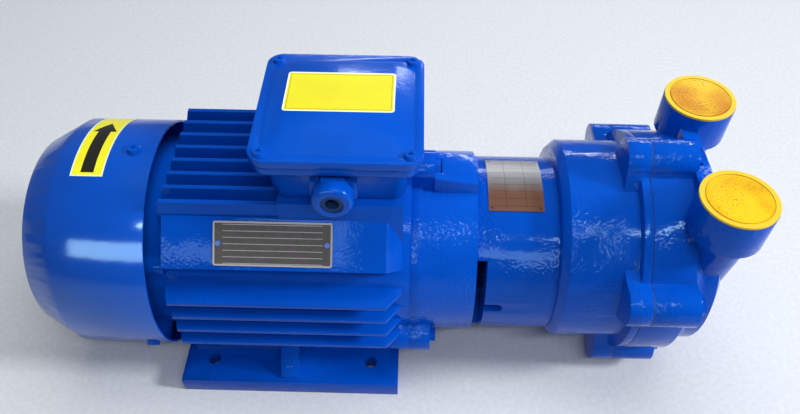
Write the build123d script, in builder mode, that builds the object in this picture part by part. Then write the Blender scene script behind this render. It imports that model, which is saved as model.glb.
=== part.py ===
from build123d import *
import os
from math import sin, cos, radians, sqrt

# Monoblock liquid-ring vacuum pump on a foot-mounted, fan-cooled motor.
# Millimetres. The origin is the centre of the four foot holes on the base plane,
# +X runs along the shaft from the fan cover to the pump, +Z is up.

# Foot pattern and shaft line
axis_height = 90.0
foot_pitch_x = 125.0
foot_pitch_y = 140.0
foot_hole_dia = 10.0
foot_length = 169.0
foot_overall_width = 180.0
foot_plate_width = 42.0
foot_plate_thickness = 15.0
foot_web_outer = 62.0
foot_web_thickness = 9.0
foot_web_length = 156.0
foot_rib_width = 14.0
foot_rib_overhang = 4.0
foot_rib_lip = 1.5
foot_rib_top = 42.0

# Finned frame
frame_half_length = 92.0
stator_bore_radius = 65.0
frame_wall = 6.0
barrel_radius = stator_bore_radius + frame_wall
fin_tip_setback = 17.0
fin_tip_lead = 16.0
fin_root_setback = 13.0
fin_root_lead = 5.5
fin_thickness = 3.2
fin_root_depth = 50.0
top_fin_height = 85.0
top_fin_pitch = 13.0
top_fin_count = 8
side_fin_reach = 84.0
side_fin_pitch = 16.5
side_fin_top = 21.0
side_fin_count = 4
belly_fin_height = 78.0
belly_fin_count = 4
pad_distance = 86.0
pad_width = 36.0
pad_root = 62.0
saddle_reach_back = 40.6
saddle_reach_front = 42.4
saddle_half_width = 49.0
saddle_height = 88.0
wire_hole_dia = 26.0

# Motor end shields and their lugs
lug_count = 3
lug_angle = 90.0
lug_circle = 76.0
lug_radius = 12.0
lug_neck = 60.0
frame_lug_length = 14.0
shield_lug_thickness = 16.0
shield_radius = 69.0
shield_drop = 3.0
shield_bead_rise = 1.5
shield_bead_length = 8.0
rear_shield_radius = 70.5
shield_length = 46.6
shield_wall = 8.0
shield_web = 7.0
shield_nose_plate = 8.0
shield_nose_bore = 40.0
shield_block_width = 28.0
shield_block_top = 78.0
shield_block_drop = 4.5
shield_block_pocket = 14.0
spigot_length = 5.0
spigot_clearance = 0.1
rear_shield_plate = 8.0
rear_boss_length = 18.0
rear_boss_width = 20.0

shield_bolt_radius = 3.0
bolt_clearance = 0.25
bolt_head = 5.0
bolt_head_height = 4.2
bolt_reach = 10.0
rear_bolt_circle = 70.0
rear_lug_radius = 7.0
joint_screw_circle = 49.0
joint_screw_angles = (57.0, 123.0, 237.0, 303.0)
joint_screw_radius = 3.0
joint_screw_head = 4.8
joint_flange = 8.0
wave_spring_length = 2.0

# Fan cover
cover_radius = 86.3
cover_overlap = 4.6
cover_drum_length = 63.9
cover_dish_length = 24.6
cover_end_radius = 72.6
cover_sheet = 1.5
grille_rings = ((34.0, 20.0), (57.0, 20.0))
grille_counts = (12, 24)
grille_slot_width = 5.0
cover_screw_setback = 10.5
cover_screw_head = 5.2
cover_screw_shank = 2.4

# Shaft, bearings and rotor
shaft_rotor_radius = 16.0
shaft_rear_radius = 12.5
shaft_front_radius = 15.0
shaft_seal_radius = 12.5
shaft_pump_radius = 11.0
shaft_fan_radius = 11.0
rear_bearing_outer_radius = 26.0
rear_bearing_width = 15.0
rear_bearing_setback = 21.0
front_bearing_outer_radius = 31.0
front_bearing_width = 16.0
front_bearing_setback = 1.0
bearing_ring_thickness = 3.6
bearing_gap = 0.3
rotor_radius = 39.6
air_gap = 0.5
core_setback = 30.0
core_lead = 44.0
end_ring_width = 9.0
end_ring_thickness = 14.0
winding_overhang = 22.0
winding_inner = 46.0
winding_outer = 62.0
stator_slot_count = 24

# Cooling fan
fan_grille_room = 23.9
fan_hub_length = 26.0
fan_hub_radius = 17.0
fan_disc_radius = 62.0
fan_disc_thickness = 3.0
fan_tip_radius = 74.0
fan_blade_width = 22.0
fan_blade_thickness = 2.6
fan_blade_count = 9
circlip_width = 1.2

# Terminal box
box_lead = 47.4
lid_length = 108.7
lid_width = 107.7
lid_center_y = 0.8
lid_top = 130.6
lid_rim = 6.0
lid_corner = 11.0
plateau_height = 7.0
plateau_side = 94.0
plateau_cut = 10.0
plateau_taper = 55.0
lid_recess_side = 72.0
lid_cavity_side = 84.0
lid_cavity_depth = 9.0
lid_gasket = 1.5
box_side_top = 94.0
box_side_bottom = 86.0
box_wall = 4.0
box_floor = 4.0
box_flange_side = 104.0
box_flange = 5.0
box_corner = 9.0
lid_screw_offset = 46.3
lid_screw_head = 4.4
lid_screw_shank = 2.4
board_length = 56.0
board_width = 34.0
board_thickness = 8.0
board_rail = 6.0
stud_radius = 2.5
stud_height = 12.0
stud_pitch_x = 18.0
stud_pitch_y = 16.0
gland_height = 103.0
gland_offset = 2.2
gland_boss_radius = 15.0
gland_face = 50.0
gland_thread_radius = 9.5
gland_hex = 13.8
gland_hex_length = 4.0
gland_nut_radius = 13.5
gland_nut_length = 9.0
gland_mouth_radius = 7.5
gland_bore_radius = 4.5

# Plates
motor_plate_length = 80.0
motor_plate_height = 30.0
plate_thickness = 0.8
rivet_radius = 1.2
rivet_head = 0.7
rivet_head_ratio = 1.7
pump_plate_setback = 7.9
pump_plate_length = 39.0
pump_plate_low = 66.0
pump_plate_high = 111.3

# Pump casing
pump_rise = 3.0
lantern_drop = 4.0
lantern_radius = 66.0
lantern_wall = 8.0
window_width = 7.6
window_top_angle = 35.0
window_bottom_angle = 48.0
window_slot_drop = 1.2
window_slot_height = 8.0
window_slot_length = 13.0
lantern_length = 43.4
back_wall_thickness = 18.0
drum_overlap = 4.0
drum_radius = 75.0
drum_chamfer = 5.0
drum_length = 51.5
flange_radius = 83.5
flange_thickness = 6.0
gasket_thickness = 0.6
chamber_radius = 63.0
chamber_rise = 5.0
pump_lug_count = 5
pump_lug_angle = 90.0
pump_bolt_circle = 85.0
pump_lug_radius = 14.5
pump_lug_flare = 6.0
casing_lug_length = 15.5
cover_lug_length = 31.0
pump_bolt_radius = 4.0
pump_bolt_head = 6.5
pump_bolt_head_height = 5.3
pump_bolt_reach = 12.0
drain_plug_setback = 22.0
drain_plug_radius = 8.0
drain_boss_radius = 13.0
drain_boss_drop = 75.0
drain_plug_length = 10.0

# Impeller, port plate and its relief valve
impeller_clearance = 0.4
impeller_radius = 56.0
impeller_hub_radius = 22.0
impeller_disc = 3.0
vane_count = 12
vane_thickness = 3.0
vane_lean = 24.0
vane_bow = 6.0
port_plate_radius = 74.0
port_plate_thickness = 4.0
suction_port_radius = 38.0
suction_port_width = 18.0
suction_port_sweep = 92.0
discharge_port_radius = 34.0
discharge_port_width = 14.0
discharge_port_angle = 152.0
discharge_port_sweep = 32.0
relief_hole_dia = 6.0
relief_hole_count = 4
relief_hole_circle = 38.0
relief_start = 192.0
relief_sweep = 42.0
flap_width = 13.0
flap_thickness = 1.2
stop_thickness = 1.6
valve_screw_radius = 2.0
valve_screw_head = 3.6
valve_screw_rise = 2.4

# Mechanical seal and slinger
seal_boss_setback = 36.4
seal_boss_radius = 30.0
seal_boss_wall = 3.0
seal_seat_radius = 21.0
seal_seat_length = 9.0
seal_head_radius = 19.0
seal_chamber_radius = 25.0
seal_running_clearance = 0.4
slinger_setback = 13.4
slinger_width = 6.0
slinger_radius = 20.0

# Pump cover and nozzles
cover_rim_length = 29.5
cover_shoulder_length = 11.0
cover_body_radius = 75.0
cover_body_length = 8.0
cover_nose_length = 5.0
cover_nose_radius = 67.0
cover_wall = 8.0
cover_partition = 9.0
nozzle_setback = 44.9
nozzle_y = 49.5
nozzle_radius = 25.1
nozzle_top = 101.8
collar_bottom = 74.0
collar_bevel = 7.0
leg_top_radius = 18.5
leg_bottom = -42.0
leg_bottom_radius = 13.0
leg_bottom_lean = 1.4
leg_bottom_y = 40.0
port_thread_radius = 19.5
port_thread_length = 16.0
port_mouth_radius = 21.4
port_mouth_depth = 9.0
port_throat_radius = 13.5
port_throat_bottom = 55.0
port_duct_radius = 11.0
port_duct_offset = 6.0
port_duct_bottom = 25.0
web_half_width = 40.0
web_top = 91.0
web_front_top = 74.0
web_front_reach = 6.1
web_pocket = 17.0
service_port_radius = 7.5
service_port_depth = 12.0
service_post_radius = 13.0
service_feed_radius = 2.5

# Transit caps on the nozzles
cap_flange_radius = 24.8
cap_flange_thickness = 1.6
cap_groove_radius = 21.6
cap_groove_width = 0.9
cap_groove_depth = 0.7
cap_spigot_clearance = 0.25
cap_spigot_depth = 8.2
cap_wall = 1.6
seat_clearance = 0.05

# Small shared values
thread_clearance = 0.1
end_gap = 1.0
pan_taper = 20.0
drive_slot_length = 4.0
drive_slot_width = 0.9
drive_slot_depth = 1.2
cover_screw_rise = 3.0
cover_screw_depth = 9.0
lid_screw_rise = 2.6
slot_back = 1.5
slot_width = 5.0
slot_liner = 0.4
bearing_lip = 1.5
shaft_stub = 4.0
shaft_step_setback = 32.0
impeller_recess = 12.0
circlip_groove = 0.8
key_start = 4.0
key_length = 22.0
key_width = 6.0
key_depth = 3.5
key_rise = 2.5
end_screw_radius = 4.0
end_screw_reach = 18.0
end_ring_vanes = 8
end_ring_vane = 2.5
gland_thread_reach = 12.0
gland_seal_wall = 2.0
gland_dome = 3.5
gland_seal_inset = 1.0
plate_corner = 1.5
plate_rivet_inset = 7.0

washer_radius = 14.0
washer_thickness = 2.0
end_screw_head = 6.5
end_screw_rise = 5.5

# Places along the shaft, each worked out from its neighbour
box_center_x = frame_half_length - box_lead
fin_tip_start = -frame_half_length + fin_tip_setback
fin_tip_end = frame_half_length - fin_tip_lead
fin_root_start = -frame_half_length + fin_root_setback
fin_root_end = frame_half_length - fin_root_lead
saddle_start = box_center_x - saddle_reach_back
saddle_end = box_center_x + saddle_reach_front
core_start = -frame_half_length + core_setback
core_end = frame_half_length - core_lead
front_bearing_start = frame_half_length + front_bearing_setback
shield_web_start = frame_half_length + shield_lug_thickness
shield_block_start = frame_half_length + shield_lug_thickness
shield_end = frame_half_length + shield_length
rear_bearing_start = -frame_half_length - rear_bearing_setback
cover_open_end = -frame_half_length + cover_overlap
cover_shoulder = cover_open_end - cover_drum_length
cover_end = cover_shoulder - cover_dish_length
cover_screw_x = -frame_half_length - cover_screw_setback
fan_start = cover_end + fan_grille_room
shaft_step = frame_half_length + shaft_step_setback
pump_plate_start = shield_end + pump_plate_setback
slinger_start = shield_end + slinger_setback
seal_boss_start = shield_end + seal_boss_setback
seal_start = seal_boss_start + seal_boss_wall
back_wall_start = shield_end + lantern_length
back_wall_end = back_wall_start + back_wall_thickness
drum_start = back_wall_end - drum_overlap
flange_start = drum_start + drum_length
parting = flange_start + flange_thickness
drain_plug_x = back_wall_end + drain_plug_setback
cover_rim_end = parting + cover_rim_length
cover_body_start = cover_rim_end + cover_shoulder_length
cover_body_end = cover_body_start + cover_body_length
cover_nose = cover_body_end + cover_nose_length
nozzle_x = parting + nozzle_setback
leg_bottom_x = nozzle_x - leg_bottom_lean
port_duct_x = nozzle_x - port_duct_offset
web_front = nozzle_x + web_front_reach

# Planes along the shaft that several pieces share
casing_face = parting - gasket_thickness / 2
cover_face = parting + gasket_thickness / 2
plate_start = casing_face - port_plate_thickness
eye_start = back_wall_end + impeller_clearance
eye_end = plate_start - impeller_clearance

os.makedirs("parts", exist_ok=True)


def across(x, height=axis_height):
    return Plane(origin=(x, 0, height), x_dir=(0, 1, 0), z_dir=(1, 0, 0))


def upright(y):
    return Plane(origin=(0, y, axis_height), x_dir=(1, 0, 0), z_dir=(0, -1, 0))


def level(z, x=0.0, y=0.0):
    return Plane(origin=(x, y, axis_height + z), x_dir=(1, 0, 0), z_dir=(0, 0, 1))


shaft_axis = Axis((0, 0, axis_height), (1, 0, 0))


def lug_profile(count, angle, circle, radius, inner):
    with BuildSketch() as lug:
        with PolarLocations(0, count, start_angle=angle):
            with Locations(((circle + inner) / 2, 0)):
                Rectangle(circle - inner, 2 * radius)
            with Locations((circle, 0)):
                Circle(radius)
    return lug.sketch


# Motor frame: finned barrel, 45 degree pads, terminal saddle, lugs and feet
with BuildPart() as motor_frame:
    with BuildSketch(across(-frame_half_length)):
        Circle(barrel_radius)
    extrude(amount=2 * frame_half_length)
    top_ys = [(i - (top_fin_count - 1) / 2) * top_fin_pitch for i in range(top_fin_count)]
    for fin_y in top_ys:
        with BuildSketch(upright(fin_y + fin_thickness / 2)):
            with BuildLine():
                Polyline(
                    (fin_root_start, fin_root_depth),
                    (fin_root_end, fin_root_depth),
                    (fin_root_end, barrel_radius),
                    (fin_tip_end, top_fin_height),
                    (fin_tip_start, top_fin_height),
                    (fin_root_start, barrel_radius),
                    close=True,
                )
            make_face()
        extrude(amount=fin_thickness)
    belly_ys = [(i - (belly_fin_count - 1) / 2) * top_fin_pitch for i in range(belly_fin_count)]
    for fin_y in belly_ys:
        with BuildSketch(upright(fin_y + fin_thickness / 2)):
            with BuildLine():
                Polyline(
                    (fin_root_start, -fin_root_depth),
                    (fin_root_end, -fin_root_depth),
                    (fin_root_end, -barrel_radius),
                    (fin_tip_end, -belly_fin_height),
                    (fin_tip_start, -belly_fin_height),
                    (fin_root_start, -barrel_radius),
                    close=True,
                )
            make_face()
        extrude(amount=fin_thickness)
    side_zs = [side_fin_top - i * side_fin_pitch for i in range(side_fin_count)]
    for fin_z in side_zs:
        with BuildSketch(level(fin_z - fin_thickness / 2)):
            for side in (-1, 1):
                with BuildLine():
                    Polyline(
                        (fin_root_start, side * fin_root_depth),
                        (fin_root_end, side * fin_root_depth),
                        (fin_root_end, side * barrel_radius),
                        (fin_tip_end, side * side_fin_reach),
                        (fin_tip_start, side * side_fin_reach),
                        (fin_root_start, side * barrel_radius),
                        close=True,
                    )
                make_face()
        extrude(amount=fin_thickness)
    # flat pads at 45 degrees with the fins' sloped ends, the −Y side one carries the rating plate
    for pad_angle in (45, 135):
        pad_across = (0, -sin(radians(pad_angle)), cos(radians(pad_angle)))
        with BuildSketch(Plane(origin=(0, 0, axis_height), x_dir=(1, 0, 0), z_dir=pad_across)):
            with BuildLine():
                Polyline(
                    (fin_root_start, pad_root),
                    (fin_root_end, pad_root),
                    (fin_root_end, barrel_radius),
                    (fin_tip_end, pad_distance),
                    (fin_tip_start, pad_distance),
                    (fin_root_start, barrel_radius),
                    close=True,
                )
            make_face()
        extrude(amount=pad_width / 2, both=True)
    # saddle under the terminal box
    with BuildSketch(across(saddle_start)):
        with Locations((0, (fin_root_depth + saddle_height) / 2)):
            Rectangle(2 * saddle_half_width, saddle_height - fin_root_depth)
    extrude(amount=saddle_end - saddle_start)
    # tapped lugs for the end shields
    with BuildSketch(across(frame_half_length - frame_lug_length)):
        add(lug_profile(lug_count, lug_angle, lug_circle, lug_radius, lug_neck))
    extrude(amount=frame_lug_length)
    with BuildSketch(across(-frame_half_length)):
        add(lug_profile(lug_count, -lug_angle, rear_bolt_circle, rear_lug_radius, lug_neck))
    extrude(amount=frame_lug_length)
    # feet with their webs and middle ribs
    foot_inner = foot_overall_width / 2 - foot_plate_width
    with BuildSketch(Plane.XY):
        for side in (-1, 1):
            with Locations((0, side * (foot_overall_width - foot_plate_width) / 2)):
                Rectangle(foot_length, foot_plate_width)
    extrude(amount=foot_plate_thickness)
    with BuildSketch(Plane.XY):
        for side in (-1, 1):
            with Locations((0, side * (foot_web_outer - foot_web_thickness / 2))):
                Rectangle(foot_web_length, foot_web_thickness)
    extrude(amount=axis_height - sqrt(stator_bore_radius**2 - foot_web_outer**2) / 2)
    with BuildSketch(across(-foot_rib_width / 2, 0)):
        rib_outer = foot_overall_width / 2 - foot_rib_overhang
        rib_inner = foot_web_outer - foot_web_thickness / 2
        for side in (-1, 1):
            with BuildLine():
                Polyline(
                    (side * rib_inner, foot_plate_thickness / 2),
                    (side * rib_outer, foot_plate_thickness / 2),
                    (side * rib_outer, foot_plate_thickness + foot_rib_lip),
                    (side * foot_web_outer, foot_rib_top),
                    (side * rib_inner, foot_rib_top),
                    close=True,
                )
            make_face()
    extrude(amount=foot_rib_width)
    # stator bore, wire passage and foot holes
    with BuildSketch(across(-frame_half_length)):
        Circle(stator_bore_radius)
    extrude(amount=2 * frame_half_length, mode=Mode.SUBTRACT)
    with BuildSketch(level(fin_root_depth, box_center_x)):
        Circle(wire_hole_dia / 2)
    extrude(amount=saddle_height - fin_root_depth, mode=Mode.SUBTRACT)
    with BuildSketch(Plane.XY):
        with GridLocations(foot_pitch_x, foot_pitch_y, 2, 2):
            Circle(foot_hole_dia / 2)
    extrude(amount=foot_plate_thickness, mode=Mode.SUBTRACT)
    with BuildSketch(across(frame_half_length)):
        with PolarLocations(lug_circle, lug_count, start_angle=lug_angle):
            Circle(shield_bolt_radius)
    extrude(amount=-bolt_reach, mode=Mode.SUBTRACT)
    with BuildSketch(across(-frame_half_length)):
        with PolarLocations(rear_bolt_circle, lug_count, start_angle=-lug_angle):
            Circle(shield_bolt_radius)
    extrude(amount=bolt_reach, mode=Mode.SUBTRACT)
motor_frame.part.label = "motor_frame"

# Stator: slotted core and the winding that fills it and overhangs both ends
slot_inner = winding_inner + slot_back
slot_outer = winding_outer - slot_back
with BuildPart() as stator_core:
    with BuildSketch(across(core_start)):
        Circle(stator_bore_radius)
        Circle(rotor_radius + air_gap, mode=Mode.SUBTRACT)
        with PolarLocations((slot_inner + slot_outer) / 2, stator_slot_count):
            Rectangle(slot_outer - slot_inner, slot_width, mode=Mode.SUBTRACT)
    extrude(amount=core_end - core_start)
stator_core.part.label = "stator_core"

with BuildPart() as stator_windings:
    for face_x, way in ((core_start, -1), (core_end, 1)):
        with BuildSketch(across(face_x)):
            Circle(winding_outer)
            Circle(winding_inner, mode=Mode.SUBTRACT)
        extrude(amount=way * winding_overhang)
    with BuildSketch(across(core_start)):
        with PolarLocations((slot_inner + slot_outer) / 2, stator_slot_count):
            Rectangle(slot_outer - slot_inner - slot_liner, slot_width - slot_liner)
    extrude(amount=core_end - core_start)
stator_windings.part.label = "stator_windings"

# Drive end shield: bearing web, skirt, nose plate, three bolt lugs and the top block
front_bearing_end = front_bearing_start + front_bearing_width
skirt_inner = shield_radius - shield_wall
web_end = shield_web_start + shield_web
with BuildPart() as drive_end_shield:
    with BuildSketch(across(frame_half_length)):
        with Locations((0, -shield_drop)):
            Circle(shield_radius)
    extrude(amount=shield_end - frame_half_length)
    with BuildSketch(across(frame_half_length)):
        with Locations((0, -shield_drop)):
            Circle(shield_radius + shield_bead_rise)
    extrude(amount=shield_bead_length)
    with BuildSketch(across(frame_half_length)):
        Circle(stator_bore_radius - spigot_clearance)
    extrude(amount=-spigot_length)
    with BuildSketch(across(frame_half_length)):
        add(lug_profile(lug_count, lug_angle, lug_circle, lug_radius, stator_bore_radius))
    extrude(amount=shield_lug_thickness)
    with BuildSketch(upright(shield_block_width / 2)):
        with BuildLine():
            Polyline(
                (shield_block_start, skirt_inner),
                (shield_end, skirt_inner),
                (shield_end, shield_block_top - shield_block_drop),
                (shield_block_start, shield_block_top),
                close=True,
            )
        make_face()
    extrude(amount=shield_block_width)
    with BuildSketch(across(shield_block_start)):
        with Locations((0, shield_radius + shield_block_pocket / 2)):
            Rectangle(shield_block_pocket, shield_block_pocket)
    extrude(amount=bolt_head_height + end_gap, mode=Mode.SUBTRACT)
    # hollow behind the spigot round the bearing hub, bearing bore, shaft hole and lantern side
    with BuildSketch(across(frame_half_length - spigot_length)):
        Circle(stator_bore_radius - shield_wall)
    extrude(amount=front_bearing_start - frame_half_length + spigot_length, mode=Mode.SUBTRACT)
    with BuildSketch(across(front_bearing_start)):
        Circle(stator_bore_radius - shield_wall)
        Circle(front_bearing_outer_radius + shield_wall, mode=Mode.SUBTRACT)
    extrude(amount=shield_web_start - front_bearing_start, mode=Mode.SUBTRACT)
    with BuildSketch(across(front_bearing_start)):
        Circle(front_bearing_outer_radius)
    extrude(amount=front_bearing_width, mode=Mode.SUBTRACT)
    with BuildSketch(across(front_bearing_end)):
        Circle(shaft_front_radius + seal_running_clearance)
    extrude(amount=web_end - front_bearing_end, mode=Mode.SUBTRACT)
    with BuildSketch(across(web_end)):
        with Locations((0, -shield_drop)):
            Circle(skirt_inner)
    extrude(amount=shield_end - shield_nose_plate - web_end, mode=Mode.SUBTRACT)
    with BuildSketch(across(shield_end)):
        Circle(shield_nose_bore)
    extrude(amount=-shield_nose_plate, mode=Mode.SUBTRACT)
    with BuildSketch(across(frame_half_length)):
        with PolarLocations(lug_circle, lug_count, start_angle=lug_angle):
            Circle(shield_bolt_radius + bolt_clearance)
    extrude(amount=shield_lug_thickness, mode=Mode.SUBTRACT)
    with BuildSketch(across(shield_end)):
        for screw_angle in joint_screw_angles:
            with PolarLocations(joint_screw_circle, 1, start_angle=screw_angle):
                Circle(joint_screw_radius)
    extrude(amount=-shield_nose_plate, mode=Mode.SUBTRACT)
drive_end_shield.part.label = "drive_end_shield"

# Rear end shield: bearing hub, spigot and the three bosses that carry the fan cover
rear_bearing_end = rear_bearing_start + rear_bearing_width
cover_inner = cover_radius - cover_sheet
boss_reach = sqrt((cover_inner - seat_clearance) ** 2 - (rear_boss_width / 2) ** 2)
rear_hub_radius = rear_bearing_outer_radius + shield_wall
with BuildPart() as rear_end_shield:
    with BuildSketch(upright(0)):
        with BuildLine():
            Polyline(
                (-frame_half_length, rear_shield_radius),
                (-frame_half_length - rear_shield_plate, rear_shield_radius),
                (-frame_half_length - rear_shield_plate, rear_hub_radius),
                (rear_bearing_start - shield_wall, rear_hub_radius),
                (rear_bearing_start - shield_wall, shaft_rear_radius + seal_running_clearance),
                (rear_bearing_start - wave_spring_length, shaft_rear_radius + seal_running_clearance),
                (rear_bearing_start - wave_spring_length, rear_bearing_outer_radius),
                (rear_bearing_end, rear_bearing_outer_radius),
                (rear_bearing_end, rear_hub_radius),
                (-frame_half_length, rear_hub_radius),
                (-frame_half_length, stator_bore_radius - shield_wall),
                (-frame_half_length + spigot_length, stator_bore_radius - shield_wall),
                (-frame_half_length + spigot_length, stator_bore_radius - spigot_clearance),
                (-frame_half_length, stator_bore_radius - spigot_clearance),
                close=True,
            )
        make_face()
    revolve(axis=shaft_axis)
    with BuildSketch(across(-frame_half_length)):
        with PolarLocations((lug_neck + boss_reach) / 2, lug_count, start_angle=lug_angle):
            Rectangle(boss_reach - lug_neck, rear_boss_width)
        add(lug_profile(lug_count, -lug_angle, rear_bolt_circle, rear_lug_radius, stator_bore_radius))
    extrude(amount=-rear_boss_length)
    with BuildSketch(across(-frame_half_length - rear_shield_plate)):
        with PolarLocations(rear_bolt_circle, lug_count, start_angle=-lug_angle):
            Circle(bolt_head + bolt_clearance)
    extrude(amount=rear_shield_plate - rear_boss_length, mode=Mode.SUBTRACT)
    with BuildSketch(across(-frame_half_length)):
        with PolarLocations(rear_bolt_circle, lug_count, start_angle=-lug_angle):
            Circle(shield_bolt_radius + bolt_clearance)
    extrude(amount=-rear_shield_plate, mode=Mode.SUBTRACT)
    for side in range(lug_count):
        boss_turn = lug_angle + side * 360 / lug_count
        boss_out = (0, cos(radians(boss_turn)), sin(radians(boss_turn)))
        with BuildSketch(Plane(origin=(cover_screw_x, boss_out[1] * boss_reach,
                                       axis_height + boss_out[2] * boss_reach),
                               x_dir=(1, 0, 0), z_dir=boss_out)):
            Circle(cover_screw_shank)
        extrude(amount=-cover_screw_depth, mode=Mode.SUBTRACT)
rear_end_shield.part.label = "rear_end_shield"

# Hexagon bolts of the two shields, one node for each set
with BuildPart() as drive_shield_bolts:
    with BuildSketch(across(frame_half_length + shield_lug_thickness)):
        with PolarLocations(lug_circle, lug_count, start_angle=lug_angle):
            RegularPolygon(bolt_head, 6, major_radius=False, rotation=30)
    extrude(amount=bolt_head_height)
    with BuildSketch(across(frame_half_length + shield_lug_thickness)):
        with PolarLocations(lug_circle, lug_count, start_angle=lug_angle):
            Circle(shield_bolt_radius - thread_clearance)
    extrude(amount=-shield_lug_thickness - bolt_reach + end_gap)
drive_shield_bolts.part.label = "drive_shield_bolts"

with BuildPart() as rear_shield_bolts:
    with BuildSketch(across(-frame_half_length - rear_shield_plate)):
        with PolarLocations(rear_bolt_circle, lug_count, start_angle=-lug_angle):
            RegularPolygon(bolt_head, 6, major_radius=True)
    extrude(amount=-bolt_head_height)
    with BuildSketch(across(-frame_half_length - rear_shield_plate)):
        with PolarLocations(rear_bolt_circle, lug_count, start_angle=-lug_angle):
            Circle(shield_bolt_radius - thread_clearance)
    extrude(amount=rear_shield_plate + bolt_reach - end_gap)
rear_shield_bolts.part.label = "rear_shield_bolts"

# Pressed fan cover with a slotted grille, and its three pan head screws
with BuildPart() as fan_cover:
    with BuildSketch(upright(0)):
        with BuildLine():
            Polyline(
                (cover_open_end, cover_radius),
                (cover_shoulder, cover_radius),
                (cover_end, cover_end_radius),
                (cover_end, 0),
                (cover_end + cover_sheet, 0),
                (cover_end + cover_sheet, cover_end_radius - cover_sheet / 2),
                (cover_shoulder + cover_sheet / 2, cover_inner),
                (cover_open_end, cover_inner),
                close=True,
            )
        make_face()
    revolve(axis=shaft_axis)
    with BuildSketch(across(cover_end)):
        for (ring_radius, slot_span), slot_total in zip(grille_rings, grille_counts):
            with PolarLocations(ring_radius, slot_total):
                SlotOverall(slot_span, grille_slot_width)
    extrude(amount=cover_sheet, mode=Mode.SUBTRACT)
    for side in range(lug_count):
        screw_turn = lug_angle + side * 360 / lug_count
        screw_out = (0, cos(radians(screw_turn)), sin(radians(screw_turn)))
        with BuildSketch(Plane(origin=(cover_screw_x, screw_out[1] * boss_reach,
                                       axis_height + screw_out[2] * boss_reach),
                               x_dir=(1, 0, 0), z_dir=screw_out)):
            Circle(cover_screw_shank + bolt_clearance)
        extrude(amount=2 * cover_screw_head, mode=Mode.SUBTRACT)
fan_cover.part.label = "fan_cover"

with BuildPart() as fan_cover_screws:
    for side in range(lug_count):
        screw_turn = lug_angle + side * 360 / lug_count
        screw_out = (0, cos(radians(screw_turn)), sin(radians(screw_turn)))
        head_seat = cover_radius + seat_clearance
        with BuildSketch(Plane(origin=(cover_screw_x, screw_out[1] * head_seat,
                                       axis_height + screw_out[2] * head_seat),
                               x_dir=(1, 0, 0), z_dir=screw_out)):
            Circle(cover_screw_head)
        extrude(amount=cover_screw_rise, taper=pan_taper)
        with BuildSketch(Plane(origin=(cover_screw_x, screw_out[1] * head_seat,
                                       axis_height + screw_out[2] * head_seat),
                               x_dir=(1, 0, 0), z_dir=screw_out)):
            Circle(cover_screw_shank - thread_clearance)
        extrude(amount=boss_reach - head_seat - cover_screw_depth + end_gap)
        with BuildSketch(Plane(origin=(cover_screw_x, screw_out[1] * (head_seat + cover_screw_rise),
                                       axis_height + screw_out[2] * (head_seat + cover_screw_rise)),
                               x_dir=(1, 0, 0), z_dir=screw_out)):
            Rectangle(drive_slot_length, drive_slot_width)
            Rectangle(drive_slot_width, drive_slot_length)
        extrude(amount=-drive_slot_depth, mode=Mode.SUBTRACT)
fan_cover_screws.part.label = "fan_cover_screws"

# Bearings: an outer ring with its shield lips, an inner ring, and the preload spring
def bearing_outer(start, width, bore, outer):
    lip = bore + bearing_ring_thickness + bearing_gap
    ring = outer - bearing_ring_thickness
    return [
        (start, outer - seat_clearance),
        (start, lip),
        (start + bearing_lip, lip),
        (start + bearing_lip, ring),
        (start + width - bearing_lip, ring),
        (start + width - bearing_lip, lip),
        (start + width, lip),
        (start + width, outer - seat_clearance),
    ]


with BuildPart() as rear_bearing_outer:
    with BuildSketch(upright(0)):
        with BuildLine():
            Polyline(*bearing_outer(rear_bearing_start, rear_bearing_width, shaft_rear_radius,
                                    rear_bearing_outer_radius), close=True)
        make_face()
    revolve(axis=shaft_axis)
rear_bearing_outer.part.label = "rear_bearing_outer"

with BuildPart() as front_bearing_outer:
    with BuildSketch(upright(0)):
        with BuildLine():
            Polyline(*bearing_outer(front_bearing_start, front_bearing_width, shaft_front_radius,
                                    front_bearing_outer_radius), close=True)
        make_face()
    revolve(axis=shaft_axis)
front_bearing_outer.part.label = "front_bearing_outer"

with BuildPart() as rear_bearing_inner:
    with BuildSketch(across(rear_bearing_start)):
        Circle(shaft_rear_radius + bearing_ring_thickness)
        Circle(shaft_rear_radius, mode=Mode.SUBTRACT)
    extrude(amount=rear_bearing_width)
rear_bearing_inner.part.label = "rear_bearing_inner"

with BuildPart() as front_bearing_inner:
    with BuildSketch(across(front_bearing_start)):
        Circle(shaft_front_radius + bearing_ring_thickness)
        Circle(shaft_front_radius, mode=Mode.SUBTRACT)
    extrude(amount=front_bearing_width)
front_bearing_inner.part.label = "front_bearing_inner"

with BuildPart() as wave_spring:
    with BuildSketch(across(rear_bearing_start - wave_spring_length)):
        Circle(rear_bearing_outer_radius - seat_clearance)
        Circle(rear_bearing_outer_radius - bearing_ring_thickness, mode=Mode.SUBTRACT)
    extrude(amount=wave_spring_length)
wave_spring.part.label = "wave_spring"

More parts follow.
